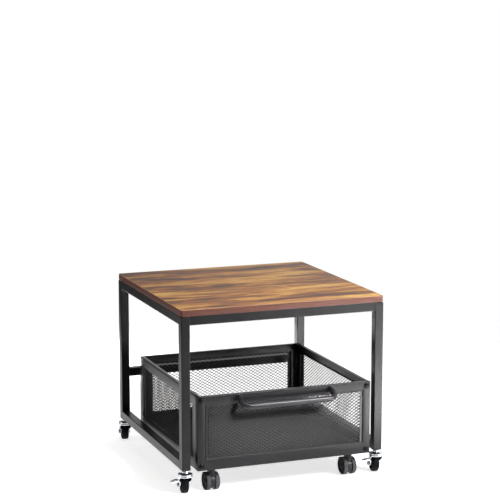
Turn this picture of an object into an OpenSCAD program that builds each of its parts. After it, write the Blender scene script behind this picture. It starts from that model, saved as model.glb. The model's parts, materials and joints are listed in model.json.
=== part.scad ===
// Rolling stand: a square wooden board on a tubular steel frame with four swivel casters,
// and a free-rolling sheet-steel drawer with diamond mesh walls that parks inside the frame.
// Millimetres, +Z up. The origin is on the floor under the middle of the frame.
// The drawer opens towards -Y.

/* [Stand] */
// Width of the frame and of the board
stand_w = 600; // [560:1:700]
// Depth of the frame and of the board
stand_d = 600; // [560:1:700]
// Height of the board's top face above the floor
stand_h = 518; // [460:1:620]
// Thickness of the board
board_t = 18; // [15:1:25]
// Radius of the board's corners in plan
board_r = 7; // [3:0.5:15]
// Height of the rear bar's underside above the floor
bar_z = 203; // [160:1:300]

/* [Tube] */
// Outer width of the square tube
tube_w = 25; // [22:1:30]
// Wall of the tube
tube_t = 1.2; // [1:0.1:1.5]
// Outer corner radius of the tube
tube_r = 2; // [1.8:0.1:3]
// Gap between the top of each post and the board
post_gap = 2; // [1:0.5:4]

/* [Board screws] */
// Screws up through each side rail into the board
board_screw_n = 3; // [2:1:5]
// Shank radius of a board screw
board_screw_r = 2; // [1.5:0.1:2.5]
// Depth of a board screw in the board
board_screw_bite = 12; // [8:0.5:13]

/* [Frame casters] */
// Height of a frame caster from the floor to the post
caster_h = 70; // [68:0.5:80]
// Wheel radius
wheel_r = 25; // [22:0.5:25.5]
// Wheel width at the tread
wheel_w = 20; // [16:0.5:21]
// Rounding of the tread's edges
wheel_edge = 4; // [2:0.5:4]
// Distance from the swivel axis back to the axle
trail = 16; // [12:0.5:18]
// Direction of the trailing wheels about Z, from +Y
caster_turn = -8; // [-30:1:30]
// Radius of the ball race and of the fork's crown
race_r = 20.5; // [18:0.5:22]
// Radius of the axle
axle_r = 4; // [3:0.1:4.5]
// Radius of the stem
stem_r = 5; // [4:0.5:6]
// Length of the stem inside the post
stem_l = 22; // [15:1:30]
// Thickness of the fork's legs
leg_t = 2; // [1.5:0.1:2.5]
// Thickness of the brake lever
lever_t = 1.5; // [1:0.1:2]
// Reach of the brake pedal from the wheel's mid-plane
lever_reach = 40; // [36:0.5:41]

/* [Drawer] */
// Clearance between the drawer and the frame on each side
drawer_clear = 17; // [15:0.5:40]
// Room behind the drawer up to the rear bar
drawer_room = 53; // [48:1:150]
// Height of the drawer's sheet walls
drawer_h = 209; // [160:1:240]
// Height of the drawer's underside above the floor
drawer_z = 67; // [65:0.5:75]
// How far the drawer's front stands proud of the frame
drawer_proud = 8; // [4:0.5:20]
// Thickness of the drawer's sheet steel
sheet_t = 1.5; // [1:0.1:2]
// Height of the rail above each mesh window
rail_top = 27; // [20:0.5:40]
// Height of the rail below each mesh window
rail_low = 33; // [25:0.5:45]
// Width of the inward folds along the top and bottom edges
fold_w = 10; // [8:0.5:11]
// Depth of the hem folded back round each mesh window's top and bottom
hem_w = 4; // [3:0.5:6]
// Width of the band beside the front window
front_band = 21.5; // [20:0.5:30]
// Width of the band beside each side window
side_band = 33; // [25:0.5:45]
// Width of the band beside the rear window
rear_band = 26; // [21:0.5:35]
// Width of the plain strip that shows beside each mesh
mesh_strip = 9; // [6:0.5:14]
// Height of the plain strip along the top and bottom edges of a mesh sheet
mesh_edge = 1.5; // [1:0.1:5]
// How far a mesh sheet laps behind the bands beside its window
mesh_lap = 4; // [2:0.5:5]

/* [Mesh] */
// Thickness of the mesh sheets
mesh_t = 1.2; // [0.8:0.1:2]
// Width of a diamond, centre to centre
mesh_pitch_w = 30; // [26:1:40]
// Height of a diamond, centre to centre
mesh_pitch_h = 18.2; // [16:0.2:26]
// Width of a strand
strand_w = 3; // [2:0.1:4]

/* [Handle] */
// Overall width of the bow handle
handle_w = 291; // [150:1:400]
// Reach of the handle in front of the drawer
handle_reach = 48; // [35:0.5:55]
// Radius of the handle's tube
handle_r = 8; // [5:0.5:8.5]
// Radius of the bends at the tube's centre line
handle_bend = 20; // [12:1:25]
// How far the bow drops from its feet to its front
handle_drop = 18.5; // [0:0.5:25]
// Distance of the feet below the drawer's top edge
handle_down = 9.5; // [9:0.5:14]

/* [Drawer casters] */
// Distance from the drawer's sides to the swivel axes
dolly_inset_x = 51.5; // [50:0.5:70]
// Distance from the drawer's front and rear to the swivel axes
dolly_inset_y = 30; // [29:0.5:60]
// Wheel radius
dolly_r = 25; // [20:0.5:25.5]
// Half of the overall width of the two wheels
dolly_half_w = 20; // [17:0.5:20.5]
// Half of the gap between the two wheels
dolly_gap = 7; // [5:0.5:9]
// Rounding of the wheels' outer edges
dolly_edge = 4; // [2:0.5:5]
// Distance from the swivel axis back to the axle
dolly_trail = 9; // [6:0.5:9.5]
// Radius of the axle
dolly_axle_r = 3; // [2:0.1:4]

/* [Hidden] */
// Clearance of a shaft in its bore, and of faces that pass each other
shaft_gap = 0.05;
face_gap = 0.3;
// Overshoot of a cut past the face it goes through
cut = 1;
round_fn = 48;
small_fn = 32;

frame_colour = "#3d3d40";
board_colour = "#8f6238";
zinc_colour = "#c9ccd2";
rubber_colour = "#1c1c1e";
plastic_colour = "#262628";
steel_colour = "#8f9196";

// Frame
post_x = (stand_w - tube_w) / 2;
post_y = (stand_d - tube_w) / 2;
board_z = stand_h - board_t;
rail_z = board_z - tube_w;
post_h = board_z - post_gap - caster_h;
cross_l = stand_w - 2 * tube_w;
side_l = stand_d - 2 * tube_w;
bore_w = tube_w - 2 * tube_t;
plug_gap = 0.1;

// Board screws
screw_head_r = 2 * board_screw_r;
screw_head_h = board_screw_r;
screw_pitch = side_l / board_screw_n;

// Frame casters
axle_z = wheel_r;
crown_t = 2.5;
crown_clear = 3.5;
skirt_h = 2;
skirt_t = 2;
chamfer = 1;
crown_z = 2 * wheel_r + crown_clear;
crown_top = crown_z + crown_t;
race_z = crown_top + face_gap;
race_h = 0.45 * (caster_h - race_z);
collar_r = 1.9 * stem_r;
rivet_r = 1.6 * stem_r;
rivet_h = 2;
hub_gap = 0.6;
leg_gap = 0.9;
leg_x = wheel_w / 2 + hub_gap + leg_gap + leg_t / 2;
leg_out = leg_x + leg_t / 2;
leg_top_x = race_r - skirt_t / 2;
leg_r = 2.1 * axle_r;
knee_gap = 1.5;
leg_knee_z = axle_z + leg_r + knee_gap;
leg_front = -11;
leg_rear = 14;
nut_r = 1.7 * axle_r;
nut_h = axle_r;
hub_r = 1.9 * axle_r;
rim_r = 0.64 * wheel_r;
web_half = 0.22 * wheel_w;

// Brake lever: its plate turns on the axle and its pedal stands out sideways
lever_x = leg_out + face_gap + lever_t / 2;
lever_hub_r = leg_r;
pedal_w = 12;
pedal_y = trail - 10;
// Bends of the pedal, out from the plate and up from the axle, and the height of its tip from the axle
pedal_bends = [[0, 8], [2.5, 15], [8, 17], [17, 15]];
pedal_tip = 12;
brake_room = lever_t + 2 * face_gap;

// Drawer
front_y = -stand_d / 2 - drawer_proud;
rear_y = stand_d / 2 - tube_w - drawer_room;
drawer_d = rear_y - front_y;
drawer_w = cross_l - 2 * drawer_clear;
side_x = drawer_w / 2;
drawer_top = drawer_z + drawer_h;
window_low = drawer_z + rail_low;
window_top = drawer_top - rail_top;
window_h = window_top - window_low;
floor_z = drawer_z + sheet_t;
tab_w = front_band - sheet_t - mesh_lap - face_gap;
tab_low = floor_z + sheet_t + face_gap;
tab_top = drawer_top - sheet_t - face_gap;
bolt_in = 11.5;
bolt_r = 2.5;
bolt_head_r = 7.5;
bolt_head_h = 3.5;
bolt_nut_r = 4.6;
bolt_nut_h = 4;
bolt_x = side_x - bolt_in;
bolt_zs = [drawer_z + bolt_in + sheet_t, drawer_top - bolt_in];

// Handle
foot_lip = 1;
foot_r = handle_r + foot_lip;
foot_t = 3;
handle_z = drawer_top - handle_down;
handle_axis = handle_reach - handle_r;
handle_tilt = asin(handle_drop / norm([handle_axis, handle_drop]));
handle_leg = norm([handle_axis, handle_drop]);
handle_x = handle_w / 2 - foot_r;
foot_screw_r = 2;
foot_screw_bite = foot_t + 2;
foot_screw_head_r = 4;
foot_screw_head_h = 2.5;

// Drawer casters
dolly_x = side_x - dolly_inset_x;
dolly_front = front_y + dolly_inset_y;
dolly_rear = rear_y - dolly_inset_y;
dolly_axle_z = dolly_r;
plate_w = 2 * (dolly_inset_y - sheet_t - fold_w) - 1;
plate_t = 2.5;
plate_r = 3;
plate_z = floor_z - plate_t;
pin_r = 5;
pin_rise = 6;
boss_r = 9;
boss_gap = 1.5;
web_gap = 0.8;
axle_cover = 4;
fender_gap = 1.5;
fender_t = 2.5;
fender_r = dolly_r + fender_gap;
fender_half_w = dolly_half_w - 2;
fender_span = 80;
boss_top = plate_z - boss_gap;
pin_low = dolly_axle_z + dolly_axle_r + pin_rise;
web_half_w = dolly_gap - web_gap;
web_back = 2.5;
web_low = 8;
web_r = dolly_r - web_back;
dolly_axle_half = dolly_half_w - axle_cover;
dolly_hub_r = 0.3 * dolly_r;
dolly_dish = 3;

// Shared outlines

module rounded_rect(w, h, r) {
    square([w - 2 * r, h], center = true);
    square([w, h - 2 * r], center = true);
    for (sx = [-1, 1], sy = [-1, 1])
        translate([sx * (w / 2 - r), sy * (h / 2 - r)])
            circle(r = r, $fn = small_fn);
}

// A bent strip of sheet seen on edge: straight runs with round bends and ends
module bent_strip(points, t) {
    for (i = [0 : len(points) - 2]) {
        run = points[i + 1] - points[i];
        translate(points[i])
            rotate(atan2(run[1], run[0]))
                translate([0, -t / 2])
                    square([norm(run), t]);
    }
    for (p = points)
        translate(p)
            circle(r = t / 2, $fn = small_fn);
}

// Where a line from p touches the circle of radius r about c, on one side of it
function touch(c, r, p, side) =
    let (d = p - c, a = atan2(d[1], d[0]) + side * acos(r / norm(d)))
    c + r * [cos(a), sin(a)];

// Tube frame

module tube(length) {
    linear_extrude(length)
        difference() {
            rounded_rect(tube_w, tube_w, tube_r);
            rounded_rect(bore_w, bore_w, tube_r - tube_t);
        }
}

module post(sx, sy) {
    color(frame_colour)
        translate([sx * post_x, sy * post_y, caster_h])
            tube(post_h);
}

module cross_rail(sy, low) {
    color(frame_colour)
        translate([-cross_l / 2, sy * post_y, low + tube_w / 2])
            rotate([0, 90, 0])
                tube(cross_l);
}

module side_rail(sx, low) {
    color(frame_colour)
        translate([sx * post_x, side_l / 2, low + tube_w / 2])
            rotate([90, 0, 0])
                tube(side_l);
}

module at_board_screws(sides) {
    for (sx = sides, i = [0 : board_screw_n - 1])
        translate([sx * post_x, (i - (board_screw_n - 1) / 2) * screw_pitch, 0])
            children();
}

module top_side_rail(sx) {
    color(frame_colour)
        difference() {
            side_rail(sx, rail_z);
            at_board_screws([sx])
                translate([0, 0, rail_z - cut])
                    cylinder(h = tube_w + 2 * cut, r = board_screw_r + shaft_gap, $fn = small_fn);
        }
}

module top_board() {
    color(board_colour)
        difference() {
            translate([0, 0, board_z])
                linear_extrude(board_t)
                    rounded_rect(stand_w, stand_d, board_r);
            at_board_screws([-1, 1])
                translate([0, 0, board_z - cut])
                    cylinder(h = board_screw_bite + cut + shaft_gap,
                             r = board_screw_r + shaft_gap, $fn = small_fn);
        }
}

module board_screws() {
    color(steel_colour)
        at_board_screws([-1, 1]) {
            translate([0, 0, rail_z])
                cylinder(h = tube_w + board_screw_bite, r = board_screw_r, $fn = small_fn);
            translate([0, 0, rail_z - screw_head_h])
                cylinder(h = screw_head_h, r = screw_head_r, $fn = small_fn);
        }
}

module post_inserts() {
    color(plastic_colour)
        for (sx = [-1, 1], sy = [-1, 1])
            translate([sx * post_x, sy * post_y, caster_h])
                linear_extrude(stem_l)
                    difference() {
                        rounded_rect(bore_w - 2 * plug_gap, bore_w - 2 * plug_gap, tube_r - tube_t);
                        circle(r = stem_r + shaft_gap, $fn = round_fn);
                    }
}

// Frame casters, drawn about the swivel axis with the wheel trailing towards +Y

module at_caster(sx, sy) {
    translate([sx * post_x, sy * post_y, 0])
        rotate([0, 0, caster_turn])
            children();
}

module along_axle(z, y) {
    translate([0, y, z])
        rotate([0, 90, 0])
            children();
}

module caster_stem() {
    rotate_extrude($fn = round_fn)
        polygon([[0, crown_z - rivet_h], [rivet_r, crown_z - rivet_h], [rivet_r, crown_z - face_gap],
                 [stem_r, crown_z - face_gap], [stem_r, race_z],
                 [race_r - chamfer, race_z], [race_r, race_z + chamfer],
                 [race_r, race_z + race_h / 2], [collar_r, race_z + race_h], [collar_r, caster_h],
                 [stem_r, caster_h], [stem_r, caster_h + stem_l], [0, caster_h + stem_l]]);
}

module caster_stems() {
    color(zinc_colour)
        for (sx = [-1, 1], sy = [-1, 1])
            at_caster(sx, sy)
                caster_stem();
}

// Side view of the fork's legs: a broad top that narrows to the round end at the axle
module leg_side() {
    axle = [trail, axle_z];
    front = [leg_front, crown_z];
    rear = [leg_rear, crown_z];
    polygon([rear, front, touch(axle, leg_r, front, 1), axle, touch(axle, leg_r, rear, -1)]);
    translate(axle)
        circle(r = leg_r, $fn = round_fn);
}

module fork(sx, sy) {
    color(zinc_colour)
        at_caster(sx, sy)
            difference() {
                union() {
                    rotate_extrude($fn = round_fn)
                        polygon([[0, crown_z], [race_r - skirt_t, crown_z],
                                 [race_r - skirt_t, crown_z - skirt_h], [race_r, crown_z - skirt_h],
                                 [race_r, crown_top - chamfer], [race_r - chamfer, crown_top],
                                 [0, crown_top]]);
                    intersection() {
                        for (side = [-1, 1])
                            translate([0, wheel_r + trail, 0])
                                rotate([90, 0, 0])
                                    linear_extrude(2 * (wheel_r + trail))
                                        bent_strip([[side * leg_top_x, crown_z],
                                                    [side * leg_x, leg_knee_z],
                                                    [side * leg_x, axle_z - leg_r - cut]], leg_t);
                        rotate([90, 0, 90])
                            linear_extrude(2 * race_r + 2 * cut, center = true)
                                leg_side();
                    }
                }
                translate([0, 0, crown_z - skirt_h - cut])
                    cylinder(h = crown_t + skirt_h + 2 * cut, r = stem_r + shaft_gap, $fn = round_fn);
                along_axle(axle_z, trail)
                    cylinder(h = 4 * race_r, r = axle_r + shaft_gap, center = true, $fn = round_fn);
            }
}

module axle(sx, sy, brake) {
    nut_x = leg_out + (brake ? brake_room : 0);
    color(steel_colour)
        at_caster(sx, sy)
            along_axle(axle_z, trail) {
                translate([0, 0, -nut_x - nut_h])
                    cylinder(h = nut_x + nut_h + leg_out, r = axle_r, $fn = round_fn);
                translate([0, 0, -nut_x - nut_h])
                    cylinder(h = nut_h, r = nut_r, $fn = 6);
                translate([0, 0, leg_out])
                    rotate_extrude($fn = round_fn)
                        polygon([[0, 0], [nut_r, 0], [nut_r, nut_h / 3],
                                 [nut_r / 2, 0.8 * nut_h], [0, 0.8 * nut_h]]);
            }
}

module wheel(sx, sy) {
    rim_w = wheel_r - rim_r;
    color(rubber_colour)
        at_caster(sx, sy)
            along_axle(axle_z, trail)
                rotate_extrude($fn = round_fn) {
                    translate([rim_r + rim_w / 2, 0])
                        rounded_rect(rim_w, wheel_w, wheel_edge);
                    translate([hub_r - cut, -web_half])
                        square([rim_r - hub_r + 2 * cut, 2 * web_half]);
                    translate([axle_r + shaft_gap, -wheel_w / 2 - hub_gap])
                        square([hub_r - axle_r - shaft_gap, wheel_w + 2 * hub_gap]);
                }
}

module brake_lever(sx, sy) {
    bends = concat([[-lever_x, axle_z]],
                   [for (b = pedal_bends) [-lever_x - b[0], axle_z + b[1]]],
                   [[lever_t / 2 - lever_reach, axle_z + pedal_tip]]);
    color(zinc_colour)
        at_caster(sx, sy)
            difference() {
                union() {
                    along_axle(axle_z, trail)
                        translate([0, 0, -lever_x - lever_t / 2])
                            cylinder(h = lever_t, r = lever_hub_r, $fn = round_fn);
                    intersection() {
                        translate([0, trail + lever_hub_r, 0])
                            rotate([90, 0, 0])
                                linear_extrude(trail + 2 * lever_hub_r)
                                    bent_strip(bends, lever_t);
                        translate([0, pedal_y, 0])
                            linear_extrude(crown_z) {
                                translate([-lever_reach + pedal_w / 2, -pedal_w / 2])
                                    square([lever_reach - pedal_w / 2, pedal_w]);
                                translate([-lever_reach + pedal_w / 2, 0])
                                    circle(r = pedal_w / 2, $fn = small_fn);
                            }
                    }
                }
                along_axle(axle_z, trail)
                    cylinder(h = 4 * race_r, r = axle_r + shaft_gap, center = true, $fn = round_fn);
            }
}

// Drawer walls, drawn as seen from outside: X along the wall from its middle, Y inwards, Z up

module on_wall(wall) {
    if (wall == "front")
        translate([0, front_y, 0])
            children();
    if (wall == "rear")
        translate([0, rear_y, 0])
            rotate([0, 0, 180])
                children();
    if (wall == "left")
        translate([-side_x, (front_y + rear_y) / 2, 0])
            rotate([0, 0, -90])
                children();
    if (wall == "right")
        translate([side_x, (front_y + rear_y) / 2, 0])
            rotate([0, 0, 90])
                children();
}

// Upright plate of thickness t with its outer face at depth y
module plate(x0, x1, z0, z1, y, t) {
    translate([x0, y, z0])
        cube([x1 - x0, t, z1 - z0]);
}

// One wall: a sheet with its window, the folds along its top and bottom and the hems of the window
module wall_sheet(half_w, half_window, fold_half) {
    difference() {
        plate(-half_w, half_w, drawer_z, drawer_top, 0, sheet_t);
        plate(-half_window, half_window, window_low, window_top, -cut, sheet_t + 2 * cut);
    }
    for (z = [drawer_z, drawer_top - sheet_t])
        plate(-fold_half, fold_half, z, z + sheet_t, sheet_t / 2, fold_w + sheet_t / 2);
    for (z = [window_low - sheet_t, window_top])
        plate(-half_window, half_window, z, z + sheet_t, sheet_t / 2, hem_w + sheet_t / 2);
}

module bolt_holes(y, t) {
    for (s = [-1, 1], z = bolt_zs)
        translate([s * bolt_x, y, z])
            rotate([-90, 0, 0])
                cylinder(h = t, r = bolt_r + shaft_gap, $fn = small_fn);
}

module end_wall(band) {
    difference() {
        wall_sheet(side_x, side_x - band, side_x - sheet_t - face_gap);
        bolt_holes(-cut, sheet_t + 2 * cut);
    }
}

module drawer_front() {
    color(frame_colour)
        on_wall("front")
            difference() {
                end_wall(front_band);
                for (s = [-1, 1])
                    translate([s * handle_x, -cut, handle_z])
                        rotate([-90, 0, 0])
                            cylinder(h = sheet_t + 2 * cut, r = foot_screw_r + shaft_gap, $fn = small_fn);
            }
}

module drawer_rear() {
    color(frame_colour)
        on_wall("rear")
            end_wall(rear_band);
}

// A side wall runs between the front and rear sheets and bolts to them by a tab folded in at each end
module side_wall() {
    half_l = drawer_d / 2 - sheet_t;
    difference() {
        union() {
            wall_sheet(half_l, half_l + sheet_t - side_band, half_l - fold_w - face_gap);
            for (s = [-1, 1])
                plate(s > 0 ? half_l - sheet_t : -half_l, s > 0 ? half_l : sheet_t - half_l,
                      tab_low, tab_top, sheet_t / 2, tab_w + sheet_t / 2);
        }
        for (z = bolt_zs)
            translate([0, bolt_in, z])
                rotate([0, 90, 0])
                    cylinder(h = drawer_d + 2 * cut, r = bolt_r + shaft_gap, center = true, $fn = small_fn);
    }
}

module drawer_left() {
    color(frame_colour)
        on_wall("left")
            side_wall();
}

module drawer_right() {
    color(frame_colour)
        on_wall("right")
            side_wall();
}

// Mesh sheet between a window's hems and behind its bands: plain strips round it, with cut-off diamonds
// along them
module mesh_sheet(half_window) {
    net_w = 2 * (half_window - mesh_strip);
    columns = ceil(net_w / mesh_pitch_w / 2);
    rows = ceil(window_h / mesh_pitch_h / 2);
    half_gap_w = mesh_pitch_w / 2 - strand_w;
    half_gap_h = half_gap_w * mesh_pitch_h / mesh_pitch_w;
    translate([0, sheet_t + mesh_t, (window_low + window_top) / 2])
        rotate([90, 0, 0])
            linear_extrude(mesh_t)
                difference() {
                    square([2 * (half_window + mesh_lap), window_h], center = true);
                    intersection() {
                        square([net_w, window_h - 2 * mesh_edge], center = true);
                        for (i = [-columns : columns], j = [-rows : rows], half = [0, 0.5])
                            translate([(i + half) * mesh_pitch_w, (j + half) * mesh_pitch_h])
                                polygon([[-half_gap_w, 0], [0, -half_gap_h],
                                         [half_gap_w, 0], [0, half_gap_h]]);
                    }
                }
}

module front_mesh() {
    color(frame_colour)
        on_wall("front")
            mesh_sheet(side_x - front_band);
}

module rear_mesh() {
    color(frame_colour)
        on_wall("rear")
            mesh_sheet(side_x - rear_band);
}

module left_mesh() {
    color(frame_colour)
        on_wall("left")
            mesh_sheet(drawer_d / 2 - side_band);
}

module right_mesh() {
    color(frame_colour)
        on_wall("right")
            mesh_sheet(drawer_d / 2 - side_band);
}

module at_dollies() {
    for (sx = [-1, 1], y = [dolly_front, dolly_rear])
        translate([sx * dolly_x, y, 0])
            children();
}

module drawer_floor() {
    edge = sheet_t + face_gap;
    color(frame_colour)
        translate([-side_x + edge, front_y + edge, floor_z])
            cube([drawer_w - 2 * edge, drawer_d - 2 * edge, sheet_t]);
}

// Round-head bolts through the end walls and the side walls' tabs, with hexagon nuts inside,
// and the handle's two screws, which come through the front wall from inside
module drawer_bolts() {
    grip = 2 * sheet_t;
    color(steel_colour) {
        on_wall("front")
            for (s = [-1, 1])
                translate([s * handle_x, -foot_screw_bite, handle_z])
                    rotate([-90, 0, 0]) {
                        cylinder(h = foot_screw_bite + sheet_t, r = foot_screw_r, $fn = small_fn);
                        translate([0, 0, foot_screw_bite + sheet_t])
                            cylinder(h = foot_screw_head_h, r = foot_screw_head_r, $fn = small_fn);
                    }
        for (wall = ["front", "rear"])
            on_wall(wall)
                for (s = [-1, 1], z = bolt_zs)
                    translate([s * bolt_x, 0, z])
                        rotate([-90, 0, 0]) {
                            translate([0, 0, -bolt_head_h])
                                rotate_extrude($fn = small_fn)
                                    polygon([[0, 0], [0.6 * bolt_head_r, 0],
                                             [0.9 * bolt_head_r, 0.4 * bolt_head_h],
                                             [bolt_head_r, bolt_head_h], [0, bolt_head_h]]);
                            cylinder(h = grip + bolt_nut_h + cut, r = bolt_r, $fn = small_fn);
                            translate([0, 0, grip])
                                cylinder(h = bolt_nut_h, r = bolt_nut_r, $fn = 6);
                        }
    }
}

// Bow handle: a closed tube bent to a wide U in a plane that leans down from its two feet
module drawer_handle() {
    straight = handle_leg - handle_bend;
    color(frame_colour)
        translate([0, front_y, handle_z])
            difference() {
                union() {
                    intersection() {
                        translate([-handle_w, -2 * handle_reach, -handle_w])
                            cube([2 * handle_w, 2 * handle_reach, 2 * handle_w]);
                        rotate([handle_tilt, 0, 0]) {
                            for (s = [-1, 1]) {
                                translate([s * handle_x, foot_r, 0])
                                    rotate([90, 0, 0])
                                        cylinder(h = straight + foot_r, r = handle_r, $fn = small_fn);
                                translate([s * (handle_x - handle_bend), -straight, 0])
                                    rotate([0, 0, s > 0 ? -90 : 180])
                                        rotate_extrude(angle = 90, $fn = round_fn)
                                            translate([handle_bend, 0])
                                                circle(r = handle_r, $fn = small_fn);
                            }
                            translate([-handle_x + handle_bend, -handle_leg, 0])
                                rotate([0, 90, 0])
                                    cylinder(h = 2 * (handle_x - handle_bend), r = handle_r, $fn = small_fn);
                        }
                    }
                    for (s = [-1, 1])
                        translate([s * handle_x, 0, 0])
                            rotate([90, 0, 0])
                                cylinder(h = foot_t, r = foot_r, $fn = small_fn);
                }
                for (s = [-1, 1])
                    translate([s * handle_x, cut, 0])
                        rotate([90, 0, 0])
                            cylinder(h = foot_screw_bite + cut, r = foot_screw_r + shaft_gap, $fn = small_fn);
            }
}

// Drawer casters, drawn about the swivel axis with the wheels trailing towards +Y

module drawer_caster_stems() {
    color(steel_colour)
        at_dollies() {
            translate([0, 0, plate_z])
                linear_extrude(plate_t)
                    rounded_rect(plate_w, plate_w, plate_r);
            translate([0, 0, pin_low])
                cylinder(h = plate_z - pin_low, r = pin_r, $fn = round_fn);
        }
}

module at_dolly(sx, y) {
    translate([sx * dolly_x, y, 0])
        children();
}

module hood(sx, y) {
    color(plastic_colour)
        at_dolly(sx, y)
            difference() {
                union() {
                    along_axle(dolly_axle_z, dolly_trail)
                        cylinder(h = 2 * web_half_w, r = web_r, center = true, $fn = round_fn);
                    along_axle(dolly_axle_z, dolly_trail)
                        rotate([0, 0, 180 - fender_span / 2])
                            rotate_extrude(angle = fender_span, $fn = round_fn)
                                translate([fender_r, -fender_half_w])
                                    square([fender_t, 2 * fender_half_w]);
                    intersection() {
                        along_axle(dolly_axle_z, dolly_trail)
                            cylinder(h = 2 * web_half_w, r = fender_r + fender_t / 2,
                                     center = true, $fn = round_fn);
                        translate([-web_half_w, -boss_r, dolly_axle_z])
                            cube([2 * web_half_w, dolly_trail + 2 * boss_r, fender_r + fender_t]);
                    }
                    difference() {
                        translate([0, 0, dolly_axle_z])
                            cylinder(h = boss_top - dolly_axle_z, r = boss_r, $fn = round_fn);
                        along_axle(dolly_axle_z, dolly_trail)
                            cylinder(h = 4 * boss_r, r = fender_r, center = true, $fn = round_fn);
                    }
                }
                translate([-2 * web_half_w, -2 * dolly_r, 0])
                    cube([4 * web_half_w, 4 * dolly_r, web_low]);
                translate([0, 0, pin_low - face_gap])
                    cylinder(h = boss_top, r = pin_r + shaft_gap, $fn = round_fn);
                along_axle(dolly_axle_z, dolly_trail)
                    cylinder(h = 4 * boss_r, r = dolly_axle_r + shaft_gap, center = true, $fn = round_fn);
            }
}

module dolly_axle(sx, y) {
    color(steel_colour)
        at_dolly(sx, y)
            along_axle(dolly_axle_z, dolly_trail)
                cylinder(h = 2 * dolly_axle_half, r = dolly_axle_r, center = true, $fn = small_fn);
}

// One wheel of a pair: a drum with a rounded outer edge, a dished outer face and a blind bore for the axle
module dolly_wheel(sx, y, side) {
    width = dolly_half_w - dolly_gap;
    color(rubber_colour)
        at_dolly(sx, y)
            along_axle(dolly_axle_z, dolly_trail)
                mirror([0, 0, side < 0 ? 1 : 0])
                    translate([0, 0, dolly_gap])
                        difference() {
                            rotate_extrude($fn = round_fn) {
                                square([dolly_r - dolly_edge, width]);
                                square([dolly_r, width - dolly_edge]);
                                translate([dolly_r - dolly_edge, width - dolly_edge])
                                    circle(r = dolly_edge, $fn = small_fn);
                            }
                            translate([0, 0, width])
                                rotate_extrude($fn = round_fn)
                                    polygon([[dolly_hub_r, cut], [dolly_hub_r, -dolly_dish],
                                             [dolly_r - 2 * dolly_edge, -dolly_dish],
                                             [dolly_r - dolly_edge, 0], [dolly_r - dolly_edge, cut]]);
                            translate([0, 0, -cut])
                                cylinder(h = dolly_axle_half - dolly_gap + face_gap + cut,
                                         r = dolly_axle_r + shaft_gap, $fn = small_fn);
                        }
}

top_board();
board_screws();
post(-1, -1);  // post_fl
post(1, -1);  // post_fr
post(-1, 1);  // post_rl
post(1, 1);  // post_rr
cross_rail(-1, rail_z);  // front_rail
cross_rail(1, rail_z);  // rear_rail
top_side_rail(-1);  // left_rail
top_side_rail(1);  // right_rail
side_rail(-1, caster_h);  // left_base_rail
side_rail(1, caster_h);  // right_base_rail
cross_rail(1, bar_z);  // rear_bar
post_inserts();
caster_stems();
fork(-1, -1);  // fork_fl
fork(1, -1);  // fork_fr
fork(-1, 1);  // fork_rl
fork(1, 1);  // fork_rr
axle(-1, -1, true);  // axle_fl
axle(1, -1, true);  // axle_fr
axle(-1, 1, false);  // axle_rl
axle(1, 1, false);  // axle_rr
wheel(-1, -1);  // wheel_fl
wheel(1, -1);  // wheel_fr
wheel(-1, 1);  // wheel_rl
wheel(1, 1);  // wheel_rr
brake_lever(-1, -1);  // brake_lever_fl
brake_lever(1, -1);  // brake_lever_fr
drawer_front();
drawer_rear();
drawer_left();
drawer_right();
front_mesh();
rear_mesh();
left_mesh();
right_mesh();
drawer_floor();
drawer_bolts();
drawer_handle();
drawer_caster_stems();
hood(-1, dolly_front);  // hood_fl
hood(1, dolly_front);  // hood_fr
hood(-1, dolly_rear);  // hood_rl
hood(1, dolly_rear);  // hood_rr
dolly_axle(-1, dolly_front);  // dolly_axle_fl
dolly_axle(1, dolly_front);  // dolly_axle_fr
dolly_axle(-1, dolly_rear);  // dolly_axle_rl
dolly_axle(1, dolly_rear);  // dolly_axle_rr
dolly_wheel(-1, dolly_front, -1);  // dolly_wheel_fl_l
dolly_wheel(-1, dolly_front, 1);  // dolly_wheel_fl_r
dolly_wheel(1, dolly_front, -1);  // dolly_wheel_fr_l
dolly_wheel(1, dolly_front, 1);  // dolly_wheel_fr_r
dolly_wheel(-1, dolly_rear, -1);  // dolly_wheel_rl_l
dolly_wheel(-1, dolly_rear, 1);  // dolly_wheel_rl_r
dolly_wheel(1, dolly_rear, -1);  // dolly_wheel_rr_l
dolly_wheel(1, dolly_rear, 1);  // dolly_wheel_rr_r
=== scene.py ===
import json
import math

import bmesh
import bpy
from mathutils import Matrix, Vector


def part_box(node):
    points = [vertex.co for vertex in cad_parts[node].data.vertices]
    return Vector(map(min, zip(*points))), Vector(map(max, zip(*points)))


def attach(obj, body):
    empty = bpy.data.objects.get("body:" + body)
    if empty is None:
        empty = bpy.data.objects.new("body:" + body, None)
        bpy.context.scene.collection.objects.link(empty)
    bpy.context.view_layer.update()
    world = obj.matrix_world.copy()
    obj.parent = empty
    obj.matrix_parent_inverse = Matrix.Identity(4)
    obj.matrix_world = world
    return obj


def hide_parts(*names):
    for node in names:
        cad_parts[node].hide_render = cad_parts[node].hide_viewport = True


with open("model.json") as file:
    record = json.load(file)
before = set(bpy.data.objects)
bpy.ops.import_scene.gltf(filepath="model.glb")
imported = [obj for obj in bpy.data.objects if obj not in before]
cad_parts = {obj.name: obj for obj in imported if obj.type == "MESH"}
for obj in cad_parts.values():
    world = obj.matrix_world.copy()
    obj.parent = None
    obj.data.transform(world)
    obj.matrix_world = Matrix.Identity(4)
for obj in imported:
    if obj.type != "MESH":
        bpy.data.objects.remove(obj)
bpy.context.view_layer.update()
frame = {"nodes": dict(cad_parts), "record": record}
nodes = frame["nodes"]
mm = 0.001
sameSpot = 0.01 * mm       # what lies closer than this is taken as one place
steep = 1                  # radians: faces that meet at more than this form a fold
sharp = math.radians(50)   # edges sharper than this are rounded
print("frame loaded:", len(nodes), "nodes")


# Small helpers for working by hand in code

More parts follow.
